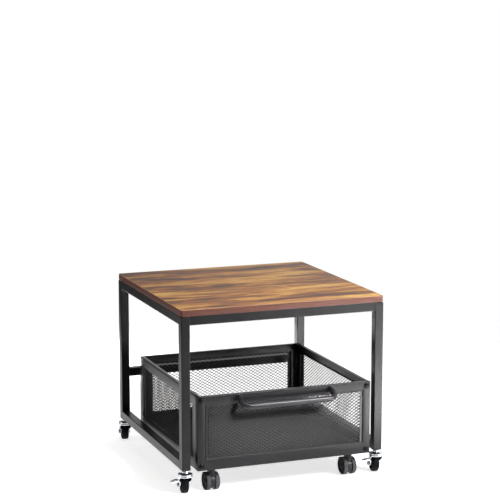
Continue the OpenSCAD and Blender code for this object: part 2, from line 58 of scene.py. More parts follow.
def clearSelection():
    if bpy.context.mode != "OBJECT":
        bpy.ops.object.mode_set(mode="OBJECT")
    bpy.ops.object.select_all(action="DESELECT")


def takeUp(obj):
    clearSelection()
    obj.select_set(True)
    bpy.context.view_layer.objects.active = obj


def nameNew(name):
    obj = bpy.context.active_object
    obj.name = name
    obj.data.name = name
    return obj


def choose(obj, kind, test):
    if obj.mode != "EDIT":
        takeUp(obj)
        bpy.ops.object.mode_set(mode="EDIT")
    bpy.ops.mesh.select_mode(type=kind)
    bpy.ops.mesh.select_all(action="DESELECT")
    shape = bmesh.from_edit_mesh(obj.data)
    items = {"VERT": shape.verts, "EDGE": shape.edges, "FACE": shape.faces}[kind]
    for item in items:
        if test(item):
            item.select_set(True)
    shape.select_flush_mode()
    bmesh.update_edit_mesh(obj.data)


def middle(edge):
    return (edge.verts[0].co + edge.verts[1].co) / 2


def isLevel(edge):
    return abs(edge.verts[0].co.z - edge.verts[1].co.z) < sameSpot


def push(x=0, y=0, z=0):
    bpy.ops.transform.translate(value=(x, y, z))


def pull(x=0, y=0, z=0):
    bpy.ops.mesh.extrude_region_move(TRANSFORM_OT_translate={"value": (x, y, z)})


def settle(obj, smooth=35):
    takeUp(obj)
    for modifier in list(obj.modifiers):
        bpy.ops.object.modifier_apply(modifier=modifier.name)
    bpy.ops.object.transform_apply(location=True, rotation=True, scale=True)
    if smooth:
        bpy.ops.object.shade_smooth_by_angle(angle=math.radians(smooth))
    return obj


def modify(obj, kind, **settings):
    modifier = obj.modifiers.new(kind.title(), kind)
    for key, value in settings.items():
        setattr(modifier, key, value)


def merge(first, *others):
    takeUp(first)
    for other in others:
        other.select_set(True)
    bpy.ops.object.join()
    return first


def copyOf(obj, name, place=(0, 0, 0), turn=0):
    takeUp(obj)
    bpy.ops.object.duplicate()
    copy = nameNew(name)
    copy.rotation_euler = (0, 0, turn)
    copy.location = place
    return settle(copy, 0)


# A turned shape about Z: a circle, extruded and scaled from ring to ring.
# The rings are (radius, height) in mm
def turned(name, rings, vertices=32):
    clearSelection()
    radius, height = rings[0]
    bpy.ops.mesh.primitive_circle_add(vertices=vertices, radius=radius * mm, location=(0, 0, height * mm))
    piece = nameNew(name)
    settle(piece, 0)
    choose(piece, "EDGE", lambda e: True)
    for nextRadius, nextHeight in rings[1:]:
        pull(z=(nextHeight - height) * mm)
        grow = nextRadius / radius
        bpy.ops.transform.resize(value=(grow, grow, 1), center_override=(0, 0, nextHeight * mm))
        radius, height = nextRadius, nextHeight
    bpy.ops.mesh.select_all(action="SELECT")
    bpy.ops.mesh.remove_doubles(threshold=0.005 * mm)
    bpy.ops.mesh.fill_holes(sides=0)
    bpy.ops.mesh.select_all(action="SELECT")
    bpy.ops.mesh.normals_make_consistent(inside=False)
    return settle(piece, 0)


def put(obj, place=(0, 0, 0), turn=(0, 0, 0), smooth=0):
    obj.location, obj.rotation_euler = place, turn
    return settle(obj, smooth)


def discard(obj):
    takeUp(obj)
    bpy.ops.object.delete()


def dress(obj, material, body, slot, *stoodFor):
    obj.data.materials.clear()
    obj.data.materials.append(material)
    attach(obj, body)
    if stoodFor:
        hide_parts(*stoodFor)


# Materials

def linearColour(code):
    parts = [int(code[i:i + 2], 16) / 255 for i in (1, 3, 5)]
    return [c / 12.92 if c <= 0.04045 else ((c + 0.055) / 1.055) ** 2.4 for c in parts] + [1]


def addNode(material, kind, settings=None, links=None):
    tree = material.node_tree
    node = tree.nodes.new(kind)
    for key, value in (settings or {}).items():
        if key == "stops":
            while len(node.color_ramp.elements) < len(value):
                node.color_ramp.elements.new(0.5)
            for stop, (place, code) in zip(node.color_ramp.elements, value):
                stop.position = place
                stop.color = linearColour(code)
        elif isinstance(key, int) or key in node.inputs:
            node.inputs[key].default_value = value
        else:
            setattr(node, key, value)
    for key, source in (links or {}).items():
        tree.links.new(source, node.inputs[key])
    return node


def startMaterial(name, **shader):
    material = bpy.data.materials.new(name)
    material.use_nodes = True
    surface = material.node_tree.nodes["Principled BSDF"]
    for key, value in shader.items():
        surface.inputs[key.replace("_", " ")].default_value = value
    place = addNode(material, "ShaderNodeTexCoord").outputs["Object"]
    return material, surface, place


def link(material, source, surface, key):
    material.node_tree.links.new(source, surface.inputs[key])


# Wood-grain laminate on particle board: a satin print of brown boards with golden and dark streaks, and a
# painted highlight along the eased upper edge
def makeLaminate():
    spec = {
        "patch": (300 * mm, 55 * mm),   # length and width of the light and dark patches
        "streak": (75 * mm, 5 * mm),    # length and width of the streaks
        "pore": (70 * mm, 2 * mm),      # grain lines, drawn twice as broad as they are so that they show
        "edgeStreak": (60 * mm, 1.6 * mm),
        "streakShare": 0.6, "grainShare": 0.6, "gloss": (0.44, 0.58),
        "boards": [(0.62, "#2c1509"), (0.71, "#623817"), (0.79, "#925a21"), (0.87, "#b67f37"),
                   (0.97, "#cfa457")],
        "grain": [(0.36, "#7d6455"), (0.52, "#ffffff")],
        "edge": [(0.32, "#4c2217"), (0.5, "#643322"), (0.7, "#77432e")],
        "paintedEdgeHighlight": "#c9a07a",            # painted highlight: the upper part of the eased edge is painted pale, where it catches the light
    }
    material, surface, place = startMaterial("rusticLaminate", Roughness=0.5)
    surface.inputs["Specular IOR Level"].default_value = 0.5

    def stretched(size, upright=False):
        along, across = 1 / size[0], 1 / size[1]
        scale = (along, along, across) if upright else (along, across, across)
        moved = addNode(material, "ShaderNodeMapping", {"Scale": scale}, {"Vector": place})
        return moved.outputs["Vector"]

    patch = addNode(material, "ShaderNodeTexNoise",
                    {"Scale": 1, "Detail": 4, "Roughness": 0.6, "Distortion": 0.5},
                    {"Vector": stretched(spec["patch"])})
    streak = addNode(material, "ShaderNodeTexNoise",
                     {"Scale": 1, "Detail": 5, "Roughness": 0.65, "Distortion": 0.4},
                     {"Vector": stretched(spec["streak"])})
    pore = addNode(material, "ShaderNodeTexNoise", {"Scale": 1, "Detail": 3, "Roughness": 0.6},
                   {"Vector": stretched(spec["pore"])})
    both = addNode(material, "ShaderNodeMath", {"operation": "MULTIPLY_ADD", 1: spec["streakShare"]},
                   {0: streak.outputs["Fac"], 2: patch.outputs["Fac"]})
    boards = addNode(material, "ShaderNodeValToRGB", {"stops": spec["boards"]},
                     {"Fac": both.outputs["Value"]})
    grain = addNode(material, "ShaderNodeValToRGB", {"stops": spec["grain"]}, {"Fac": pore.outputs["Fac"]})
    top = addNode(material, "ShaderNodeMix",
                  {"data_type": "RGBA", "blend_type": "MULTIPLY", 0: spec["grainShare"]},
                  {6: boards.outputs["Color"], 7: grain.outputs["Color"]})
    edgeNoise = addNode(material, "ShaderNodeTexNoise", {"Scale": 1, "Detail": 4, "Roughness": 0.6},
                        {"Vector": stretched(spec["edgeStreak"], True)})
    edge = addNode(material, "ShaderNodeValToRGB", {"stops": spec["edge"]}, {"Fac": edgeNoise.outputs["Fac"]})
    normal = addNode(material, "ShaderNodeNewGeometry").outputs["Normal"]
    upward = addNode(material, "ShaderNodeSeparateXYZ", None, {"Vector": normal}).outputs["Z"]
    level = addNode(material, "ShaderNodeMath", {"operation": "ABSOLUTE"}, {0: upward})
    flat = addNode(material, "ShaderNodeMapRange", {"From Min": 0.86, "From Max": 0.96},
                   {"Value": level.outputs["Value"]})
    # painted highlight: the upward-facing part of the eased edge takes the pale colour instead of the edge
    # print
    eased = addNode(material, "ShaderNodeMapRange", {"From Min": 0.12, "From Max": 0.4}, {"Value": upward})
    paintedEdgeHighlight = addNode(material, "ShaderNodeMix", {"data_type": "RGBA", 7: linearColour(spec["paintedEdgeHighlight"])},
                     {0: eased.outputs["Result"], 6: edge.outputs["Color"]})
    colour = addNode(material, "ShaderNodeMix", {"data_type": "RGBA"},
                     {0: flat.outputs["Result"], 6: paintedEdgeHighlight.outputs[2], 7: top.outputs[2]})
    link(material, colour.outputs[2], surface, "Base Color")
    bump = addNode(material, "ShaderNodeBump", {"Strength": 0.25, "Distance": 0.15 * mm},
                   {"Height": pore.outputs["Fac"]})
    link(material, bump.outputs["Normal"], surface, "Normal")
    gloss = addNode(material, "ShaderNodeMapRange", {"To Min": spec["gloss"][0], "To Max": spec["gloss"][1]},
                    {"Value": streak.outputs["Fac"]})
    link(material, gloss.outputs["Result"], surface, "Roughness")
    return material


# Paint on steel, with a fine orange peel: satin charcoal powder coat on the tubes and walls, the same coat
# painted a little lighter on the mesh as painted light for the light its strands catch, matte on the drawer's
# floor, and a glossier black on the handle
def makePaint(name, dark, light, roughness, shine):
    spec = {"peel": 1.4 * mm, "cloud": 70 * mm, "depth": 0.03 * mm}  # the real peel is about half as wide
    material, surface, place = startMaterial(name, Roughness=roughness, IOR=1.5)
    surface.inputs["Specular IOR Level"].default_value = shine
    cloud = addNode(material, "ShaderNodeTexNoise", {"Scale": 1 / spec["cloud"], "Detail": 3},
                    {"Vector": place})
    peel = addNode(material, "ShaderNodeTexNoise", {"Scale": 1 / spec["peel"], "Detail": 2, "Roughness": 0.5},
                   {"Vector": place})
    tint = addNode(material, "ShaderNodeValToRGB", {"stops": [(0.3, dark), (0.7, light)]},
                   {"Fac": cloud.outputs["Fac"]})
    link(material, tint.outputs["Color"], surface, "Base Color")
    sheen = addNode(material, "ShaderNodeMapRange", {"To Min": 0.85 * roughness, "To Max": 1.15 * roughness},
                    {"Value": peel.outputs["Fac"]})
    link(material, sheen.outputs["Result"], surface, "Roughness")
    bump = addNode(material, "ShaderNodeBump", {"Strength": 0.3, "Distance": spec["depth"]},
                   {"Height": peel.outputs["Fac"]})
    link(material, bump.outputs["Normal"], surface, "Normal")
    return material


# Plated metals: bright zinc with a bluish cast, plain steel, and black zinc on the bolts
def makePlated(name, dark, light, roughness, grit):
    cloudSize = 9 * mm
    material, surface, place = startMaterial(name, Metallic=1.0, Roughness=roughness)
    cloud = addNode(material, "ShaderNodeTexNoise", {"Scale": 1 / cloudSize, "Detail": 3}, {"Vector": place})
    tint = addNode(material, "ShaderNodeValToRGB", {"stops": [(0.35, dark), (0.65, light)]},
                   {"Fac": cloud.outputs["Fac"]})
    link(material, tint.outputs["Color"], surface, "Base Color")
    fine = addNode(material, "ShaderNodeTexNoise", {"Scale": 1 / grit, "Detail": 2}, {"Vector": place})
    sheen = addNode(material, "ShaderNodeMapRange", {"To Min": 0.8 * roughness, "To Max": 1.3 * roughness},
                    {"Value": fine.outputs["Fac"]})
    link(material, sheen.outputs["Result"], surface, "Roughness")
    return material


# Black moulded plastics: a fine spark-eroded grain on the hoods, a scuffed tread on the wheels
def makeMoulded(name, dark, light, roughness, shine, grain, depth):
    cloudSize = 6 * mm
    material, surface, place = startMaterial(name, Roughness=roughness, IOR=1.5)
    surface.inputs["Specular IOR Level"].default_value = shine
    cloud = addNode(material, "ShaderNodeTexNoise", {"Scale": 1 / cloudSize, "Detail": 4}, {"Vector": place})
    tint = addNode(material, "ShaderNodeValToRGB", {"stops": [(0.3, dark), (0.75, light)]},
                   {"Fac": cloud.outputs["Fac"]})
    link(material, tint.outputs["Color"], surface, "Base Color")
    fine = addNode(material, "ShaderNodeTexNoise", {"Scale": 1 / grain, "Detail": 2}, {"Vector": place})
    sheen = addNode(material, "ShaderNodeMapRange", {"To Min": 0.85 * roughness, "To Max": 1.2 * roughness},
                    {"Value": cloud.outputs["Fac"]})
    link(material, sheen.outputs["Result"], surface, "Roughness")
    bump = addNode(material, "ShaderNodeBump", {"Strength": 0.3, "Distance": depth},
                   {"Height": fine.outputs["Fac"]})
    link(material, bump.outputs["Normal"], surface, "Normal")
    return material


# The drawer's wheels are black nylon mouldings: the tread is painted grey, painted light for the light the
# tread catches, and the flat sides keep the black of the body
def darkenSides(material, code):
    tree = material.node_tree
    surface = tree.nodes["Principled BSDF"]
    # painted light: the grey base colour stays on the tread, while the flat sides turn black
    tread = surface.inputs["Base Color"].links[0].from_socket
    normal = addNode(material, "ShaderNodeTexCoord").outputs["Normal"]
    sideways = addNode(material, "ShaderNodeSeparateXYZ", None, {"Vector": normal}).outputs["X"]
    flat = addNode(material, "ShaderNodeMath", {"operation": "ABSOLUTE"}, {0: sideways})
    body = addNode(material, "ShaderNodeMapRange", {"From Min": 0.5, "From Max": 0.7},
                   {"Value": flat.outputs["Value"]})
    colour = addNode(material, "ShaderNodeMix", {"data_type": "RGBA", 7: linearColour(code)},
                     {0: body.outputs["Result"], 6: tread})
    link(material, colour.outputs[2], surface, "Base Color")


laminate = makeLaminate()
powderCoat = makePaint("charcoalPowderCoat", "#121113", "#18171a", 0.3, 0.27)
# painted light: the tubes' coat made lighter, standing in for the light the mesh strands catch
meshCoatPaintedLight = makePaint("meshPowderCoat", "#1d1c1e", "#252426", 0.32, 0.36)
floorCoat = makePaint("mattePowderCoat", "#0b0b0c", "#111112", 0.5, 0.12)
handleBlack = makePaint("glossBlackPaint", "#1d1a21", "#252229", 0.28, 0.44)
brightZinc = makePlated("brightZinc", "#ccd3dc", "#eceef0", 0.2, 0.5 * mm)
plainSteel = makePlated("plainSteel", "#8b8d92", "#a5a7ab", 0.34, 0.4 * mm)
blackZinc = makePlated("blackZinc", "#1b1b1e", "#252529", 0.26, 0.4 * mm)
wheelBlack = makeMoulded("polyurethaneTread", "#050506", "#0b0b0c", 0.5, 0.1, 0.7 * mm, 0.05 * mm)
# painted light: a grey base that stands in for the lit tread of a black wheel
nylonTreadPaintedLight = makeMoulded("nylonTreadPaintedLight", "#4c4c50", "#59595d", 0.5, 0.08, 0.7 * mm, 0.05 * mm)
darkenSides(nylonTreadPaintedLight, "#030303")
nylonBlack = makeMoulded("mouldedNylon", "#0e0e0f", "#171718", 0.4, 0.3, 0.8 * mm, 0.04 * mm)
slotFinish = {"board": laminate, "powder_coat": powderCoat, "zinc": brightZinc, "steel": plainSteel,
              "black_zinc": blackZinc, "wheel": wheelBlack, "plastic": nylonBlack}
nodeFinish = {"drawer_floor": floorCoat}
for row in frame["record"]["subparts"]:
    cadMesh = nodes[row["node"]].data
    cadMesh.materials.clear()
    cadMesh.materials.append(nodeFinish.get(row["node"], slotFinish[row["material_slot"]]))
print("materials made")


# Board with rounded corners and eased edges
boardSpec = {"corner": 7 * mm, "ease": 1.2 * mm}


def makeBoard():
    low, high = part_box("top_board")
    clearSelection()
    bpy.ops.mesh.primitive_cube_add(size=1, location=(low + high) / 2)
    board = nameNew("boardTop")
    board.scale = high - low
    settle(board, 0)
    choose(board, "EDGE", lambda e: not isLevel(e))
    bpy.ops.mesh.bevel(offset=boardSpec["corner"], segments=8, affect="EDGES")
    choose(board, "EDGE", isLevel)
    bpy.ops.mesh.bevel(offset=boardSpec["ease"], segments=4, affect="EDGES")
    settle(board)
    dress(board, laminate, "stand_frame", "board", "top_board")


makeBoard()
print("board made")

# Drawer walls: bent sheet with folds along the top and bottom and hems round the window
drawerSpec = {
    "halfWide": 258 * mm, "front": -308 * mm, "rear": 222 * mm, "low": 67 * mm, "high": 276 * mm,
    "windowLow": 100 * mm, "windowHigh": 249 * mm, "sheet": 1.5 * mm, "fold": 11.5 * mm, "hem": 5.5 * mm,
    "bend": 2.2 * mm, "tab": 17.2 * mm, "edge": 0.25 * mm,
}
wallPlaces = {
    "front": ((0, drawerSpec["front"], 0), 0),
    "rear": ((0, drawerSpec["rear"], 0), math.pi),
    "left": ((-drawerSpec["halfWide"], (drawerSpec["front"] + drawerSpec["rear"]) / 2, 0), -math.pi / 2),
    "right": ((drawerSpec["halfWide"], (drawerSpec["front"] + drawerSpec["rear"]) / 2, 0), math.pi / 2),
}


# A flat frame in the XZ plane, facing -Y, from a grid of nine faces with the middle one taken out
def flatFrame(name, halfWide, halfHole, low, high, holeLow, holeHigh):
    clearSelection()
    bpy.ops.mesh.primitive_grid_add(x_subdivisions=3, y_subdivisions=3, size=2, rotation=(math.pi / 2, 0, 0))
    piece = nameNew(name)
    settle(piece, 0)
    columns = {-1: -halfWide, -1 / 3: -halfHole, 1 / 3: halfHole, 1: halfWide}
    rows = {-1: low, -1 / 3: holeLow, 1 / 3: holeHigh, 1: high}
    moves = [(a, b, columns[a] - a, rows[b] - b) for a in columns for b in rows]
    for a, b, dx, dz in moves:
        choose(piece, "VERT", lambda v: abs(v.co.x - a) < sameSpot and abs(v.co.z - b) < sameSpot
               and not v.hide)
        push(x=dx, z=dz)
        bpy.ops.mesh.hide()
    bpy.ops.mesh.reveal(select=False)
    choose(piece, "FACE", lambda f: abs(f.calc_center_median().x) < sameSpot
           and holeLow < f.calc_center_median().z < holeHigh)
    bpy.ops.mesh.delete(type="FACE")
    return piece


def makeWall(side, halfWide, halfWindow, foldHalf, tabs):
    d = drawerSpec
    wall = flatFrame("wall_" + side, halfWide, halfWindow, d["low"], d["high"],
                     d["windowLow"], d["windowHigh"])

    def foldIn(test, depth, shrink=1):
        choose(wall, "EDGE", test)
        pull(y=depth)
        bpy.ops.transform.resize(value=(shrink, 1, 1), center_override=(0, 0, 0))

    def inFront(e):
        return abs(middle(e).y) < sameSpot

    outer = foldHalf / halfWide
    for level in (d["high"], d["low"]):
        foldIn(lambda e: abs(middle(e).z - level) < sameSpot and inFront(e), d["fold"], outer)
    for level in (d["windowLow"], d["windowHigh"]):
        foldIn(lambda e: abs(middle(e).z - level) < sameSpot and abs(middle(e).x) < sameSpot, d["hem"])
    if tabs:
        for end in (-halfWide, halfWide):
            foldIn(lambda e: abs(middle(e).x - end) < sameSpot and inFront(e)
                   and d["windowLow"] < middle(e).z < d["windowHigh"], d["tab"])
    bends = (d["low"], d["high"], d["windowLow"], d["windowHigh"])

    def onBend(e):
        atBend = any(abs(middle(e).z - b) < sameSpot for b in bends)
        return len(e.link_faces) == 2 and isLevel(e) and atBend and inFront(e) and e.calc_face_angle() > steep

    choose(wall, "EDGE", onBend)
    bpy.ops.mesh.bevel(offset=d["bend"], segments=4, affect="EDGES")
    modify(wall, "SOLIDIFY", thickness=d["sheet"], offset=-1, use_even_offset=True)
    modify(wall, "BEVEL", width=d["edge"], segments=2, limit_method="ANGLE", angle_limit=sharp)
    settle(wall)
    wall.location, wall.rotation_euler = wallPlaces[side][0], (0, 0, wallPlaces[side][1])
    settle(wall)
    dress(wall, powderCoat, "drawer", "powder_coat", "drawer_" + side)


wallSizes = {"front": (258, 236.5, 256.2, False), "rear": (258, 232, 256.2, False),
             "left": (263.5, 232, 253.2, True), "right": (263.5, 232, 253.2, True)}
for side, (halfWide, halfWindow, foldHalf, tabs) in wallSizes.items():
    makeWall(side, halfWide * mm, halfWindow * mm, foldHalf * mm, tabs)
print("drawer walls made")

# Expanded steel mesh: leaning diamond strands inside a plain border, one sheet behind each window
meshSpec = {
    "wide": 15 * mm, "tall": 9.1 * mm, "strand": 1.5 * mm, "lean": 0.85 * mm, "thick": 0.7 * mm,
    "lap": 4 * mm, "groove": 2.4 * mm, "grooveDeep": 6 * mm, "border": 1.5 * mm, "behind": 2.1 * mm,
    "sheet": 1.2 * mm, "edge": 0.2 * mm,
    "strip": {"front": 9 * mm, "rear": 12 * mm, "left": 13 * mm, "right": 13 * mm},
}


def makeMesh(side):
    m, d = meshSpec, drawerSpec
    halfWide = wallSizes[side][1] * mm - m["groove"]
    halfNet = wallSizes[side][1] * mm - m["strip"][side]
    low, high = d["windowLow"], d["windowHigh"]
    netLow, netHigh = low + m["border"], high - m["border"]
    clearSelection()
    bpy.ops.mesh.primitive_circle_add(vertices=4, radius=1, fill_type="NGON", rotation=(math.pi / 2, 0, 0))
    net = nameNew("mesh_" + side)
    net.scale = (m["wide"] / 2, m["tall"] / 2, 1)
    settle(net, 0)
    choose(net, "FACE", lambda f: True)
    bpy.ops.mesh.inset(thickness=m["strand"] / 2, use_even_offset=True)
    inner = m["tall"] / 2 - 0.1 * mm
    for up in (-1, 1):   # each opening leans, so that the strands stand on edge as stretched steel does
        choose(net, "VERT", lambda v: abs(v.co.x) < sameSpot and 0.1 * mm < up * v.co.z < inner)
        push(y=-up * m["lean"])
    choose(net, "FACE", lambda f: len(f.edges) == 4 and f.calc_center_median().length < sameSpot)
    bpy.ops.mesh.delete(type="ONLY_FACE")
    choose(net, "FACE", lambda f: True)
    bpy.ops.mesh.duplicate_move(TRANSFORM_OT_translate={"value": (m["wide"] / 2, 0, m["tall"] / 2)})
    columns = 2 * math.ceil(halfNet / m["wide"]) + 2
    rows = 2 * math.ceil((netHigh - netLow) / 2 / m["tall"]) + 2
    clearSelection()
    for count, step in ((columns, (m["wide"], 0, 0)), (rows, (0, 0, m["tall"]))):
        modify(net, "ARRAY", count=count, use_relative_offset=False, use_constant_offset=True,
               constant_offset_displace=step)
    settle(net, 0)
    net.location = (-(columns - 1) / 2 * m["wide"], 0, (netLow + netHigh) / 2 - (rows - 1) / 2 * m["tall"])
    settle(net, 0)
    choose(net, "VERT", lambda v: True)
    bpy.ops.mesh.remove_doubles(threshold=0.02 * mm)
    cuts = (((-halfNet, 0, 0), (-1, 0, 0)), ((halfNet, 0, 0), (1, 0, 0)),
            ((0, 0, netLow), (0, 0, -1)), ((0, 0, netHigh), (0, 0, 1)))
    for point, outward in cuts:
        bpy.ops.mesh.select_all(action="SELECT")
        bpy.ops.mesh.bisect(plane_co=point, plane_no=outward, clear_outer=True)
    modify(net, "SOLIDIFY", thickness=m["thick"], offset=0)
    settle(net, 0)
    rim = flatFrame("rim_" + side, halfWide, halfNet, low, high, netLow, netHigh)
    for end in (-1, 1):   # the sheet's ends turn back and lap behind the bands, which leaves a dark groove
        choose(rim, "EDGE", lambda e: all(abs(v.co.x - end * halfWide) < sameSpot for v in e.verts))
        pull(y=m["grooveDeep"])
        pull(x=end * (m["groove"] + m["lap"]))
    modify(rim, "SOLIDIFY", thickness=m["sheet"], offset=0)
    modify(rim, "BEVEL", width=m["edge"], segments=2, limit_method="ANGLE", angle_limit=sharp)
    settle(rim, 0)
    merge(net, rim)
    net.location = (0, m["behind"], 0)
    settle(net, 0)
    net.location, net.rotation_euler = wallPlaces[side][0], (0, 0, wallPlaces[side][1])
    settle(net)
    dress(net, meshCoatPaintedLight, "drawer", "powder_coat", side + "_mesh")
    print("mesh", side, len(net.data.polygons), "faces")


for side in wallPlaces:
    makeMesh(side)

# Bow handle: one bent tube that leans down from two round feet
handleSpec = {"half": 136.5 * mm, "reach": 40 * mm, "drop": 18.5 * mm, "rod": 8 * mm, "bend": 20 * mm,
              "foot": 9 * mm, "footThick": 3 * mm, "footRound": 1.2 * mm, "height": 266.5 * mm, "barSteps": 6}


def makeHandle():
    h = handleSpec
    front = drawerSpec["front"]
    leg = math.hypot(h["reach"], h["drop"])
    lean = math.asin(h["drop"] / leg)
    outward = Vector((0, -math.cos(lean), -math.sin(lean)))
    upward = Vector((0, -math.sin(lean), math.cos(lean)))
    start = Vector((-h["half"], front, h["height"])) + outward * h["footThick"]
    straight = leg - h["bend"] - h["footThick"]
    clearSelection()
    bpy.ops.mesh.primitive_circle_add(vertices=32, radius=h["rod"], location=start,
                                      rotation=(math.pi / 2 + lean, 0, 0))
    handle = nameNew("bowHandle")
    settle(handle, 0)
    choose(handle, "EDGE", lambda e: True)
    pull(*(outward * straight))
    corner = start + outward * straight + Vector((h["bend"], 0, 0))
    bpy.ops.mesh.spin(steps=10, angle=-math.pi / 2, center=corner, axis=upward)
    across = 2 * (h["half"] - h["bend"])
    for _ in range(h["barSteps"]):
        pull(x=across / h["barSteps"])
    corner.x += across
    bpy.ops.mesh.spin(steps=10, angle=-math.pi / 2, center=corner, axis=upward)
    pull(*(-outward * straight))
    choose(handle, "VERT", lambda v: True)
    bpy.ops.mesh.remove_doubles(threshold=0.02 * mm)
    bpy.ops.mesh.fill_holes(sides=0)
    bpy.ops.mesh.select_all(action="SELECT")
    bpy.ops.mesh.normals_make_consistent(inside=False)
    feet = []
    for side in (-1, 1):
        clearSelection()
        place = (side * h["half"], front - h["footThick"] / 2, h["height"])
        bpy.ops.mesh.primitive_cylinder_add(vertices=32, radius=h["foot"], depth=h["footThick"],
                                            location=place, rotation=(math.pi / 2, 0, 0))
        foot = nameNew("handleFoot")
        settle(foot, 0)
        choose(foot, "EDGE", lambda e: abs(middle(e).y - front + h["footThick"]) < sameSpot)
        bpy.ops.mesh.bevel(offset=h["footRound"], segments=3, affect="EDGES")
        settle(foot, 0)
        feet.append(foot)
    merge(handle, *feet)
    settle(handle, 40)
    dress(handle, handleBlack, "drawer", "powder_coat", "drawer_handle")


makeHandle()
print("handle made")

# Frame casters: pressed zinc-plated forks under ball races, black wheels, brake pedals on the front pair
casterSpec = {
    "post": 287.5, "turn": math.radians(-8), "trail": 16, "axleHeight": 25,
    "stem": [(6.6, 51.5), (7.6, 51.8), (8, 52.4), (8, 53.2), (5, 53.2), (5, 56.3), (19.4, 56.3), (20.2, 56.7),
             (20.5, 57.4), (20.5, 58.6), (20.0, 59.5), (18.6, 60.0), (12.2, 61.9), (10.4, 62.4), (9.7, 63.1),
             (9.5, 64), (9.5, 69.2), (9.0, 70), (5, 70), (5, 92)],
    "crown": [(5.1, 53.5), (18.5, 53.5), (18.5, 51.9), (18.9, 51.5), (20.1, 51.5), (20.5, 51.9), (20.5, 55.0),
              (20.1, 55.7), (19.4, 56), (5.1, 56), (5.1, 53.5)],
    "legHalf": 12.5, "legThick": 2, "legEnd": 8.4, "legTop": (-13, -9, -4.5, 0, 4.5, 9, 13), "legRound": 19.5,
    "legEdge": 0.35, "legSharp": math.radians(40), "crownLow": 53.5, "knee": 34.9,
    "wheelSide": [(4.1, 10.6), (7.1, 10.6), (7.6, 10.1), (7.6, 5.4), (8.3, 4.6), (14.6, 4.4), (15.6, 4.9),
                  (16.0, 5.8), (16.3, 7.6), (17.2, 9.1), (18.6, 9.9), (20.4, 10), (20.8, 9.6), (21.4, 9.6),
                  (21.8, 9.8), (22.7, 9.4), (23.8, 8.5), (24.6, 7.3), (25, 6), (25, 2)],
    "nut": (6.8, 4), "nutEdge": 0.6, "axle": 4, "axlePast": 1, "axleChamfer": (0.4, 0.5), "legFace": 13.5,
    "boltHead": [(6.6, 13.5), (6.8, 13.8), (6.8, 14.8), (6.2, 15.5), (4.4, 16.4), (3.0, 16.7)],
    "leverRoom": 2.1, "lever": (14.55, 1.5, 8.4), "leverGap": 0.1,
    "pedal": [(14.55, 25), (14.55, 33), (17.05, 40), (22.55, 42), (31.55, 40), (40, 36.8)],
    "pedalWidth": (0, 12), "pedalTip": 5.2, "pedalBend": 1.6, "pedalEdge": 0.3,
    "pedalFlange": (18, 6), "flangeBend": 1.2,
}
corners = {"fl": (-1, -1), "fr": (1, -1), "rl": (-1, 1), "rr": (1, 1)}


def alongAxle(obj, y, z):
    return put(obj, (0, y * mm, z * mm), (0, math.pi / 2, 0))


def makeFork():
    c = casterSpec
    fork = turned("casterFork", c["crown"], 48)
    parts = []
    for side in (-1, 1):
        clearSelection()
        place = (side * c["legHalf"] * mm, c["trail"] * mm, c["axleHeight"] * mm)
        bpy.ops.mesh.primitive_cylinder_add(vertices=40, radius=c["legEnd"] * mm, depth=c["legThick"] * mm,
                                            location=place, rotation=(0, math.pi / 2, 0))
        leg = nameNew("forkLeg")
        settle(leg, 0)
        # the two faces' top points become the leg's broad top, and a hull closes its outline
        top = (c["axleHeight"] + c["legEnd"]) * mm
        choose(leg, "VERT", lambda v: abs(v.co.z - top) < sameSpot)
        rise = c["crownLow"] * mm - top
        for reach in (c["legTop"][0], c["legTop"][-1]):
            bpy.ops.mesh.duplicate_move(TRANSFORM_OT_translate={"value": (0, 0, 0)})
            push(y=reach * mm - c["trail"] * mm, z=rise)
            choose(leg, "VERT", lambda v: abs(v.co.z - top) < sameSpot)
        bpy.ops.mesh.select_all(action="SELECT")
        bpy.ops.mesh.convex_hull()
        bpy.ops.mesh.select_all(action="SELECT")
        bpy.ops.mesh.bisect(plane_co=(0, 0, c["knee"] * mm), plane_no=(0, 0, 1))
        for across in c["legTop"][1:-1]:
            bpy.ops.mesh.select_all(action="SELECT")
            bpy.ops.mesh.bisect(plane_co=(0, across * mm, 0), plane_no=(0, 1, 0))
        for across in c["legTop"]:   # the top follows the round crown
            choose(leg, "VERT", lambda v: v.co.z > top + 5 * mm and abs(v.co.y - across * mm) < 0.05 * mm)
            push(x=side * (math.sqrt(c["legRound"] ** 2 - across ** 2) - c["legHalf"]) * mm)
        modify(leg, "BEVEL", width=c["legEdge"] * mm, segments=2, limit_method="ANGLE",
               angle_limit=c["legSharp"])
        settle(leg, 0)
        parts.append(leg)
    return settle(merge(fork, *parts), 30)


def makeAxle(room):
    c = casterSpec
    radius, thick = c["nut"]
    face = c["legFace"] + room
    end = -face - thick - c["axlePast"]
    chamfer, chamferLong = c["axleChamfer"]
    rod = turned("casterAxle", [(c["axle"] - chamfer, end), (c["axle"], end + chamferLong),
                                (c["axle"], c["legFace"])], 24)
    head = turned("axleHead", c["boltHead"], 32)
    clearSelection()
    bpy.ops.mesh.primitive_cylinder_add(vertices=6, radius=radius * mm, depth=thick * mm,
                                        location=(0, 0, (-face - thick / 2) * mm))
    nut = nameNew("axleNut")
    settle(nut, 0)
    choose(nut, "EDGE", isLevel)
    bpy.ops.mesh.bevel(offset=c["nutEdge"] * mm, segments=2, affect="EDGES")
    settle(nut, 0)
    axle = merge(rod, head, nut)
    alongAxle(axle, c["trail"], c["axleHeight"])
    return settle(axle, 30)


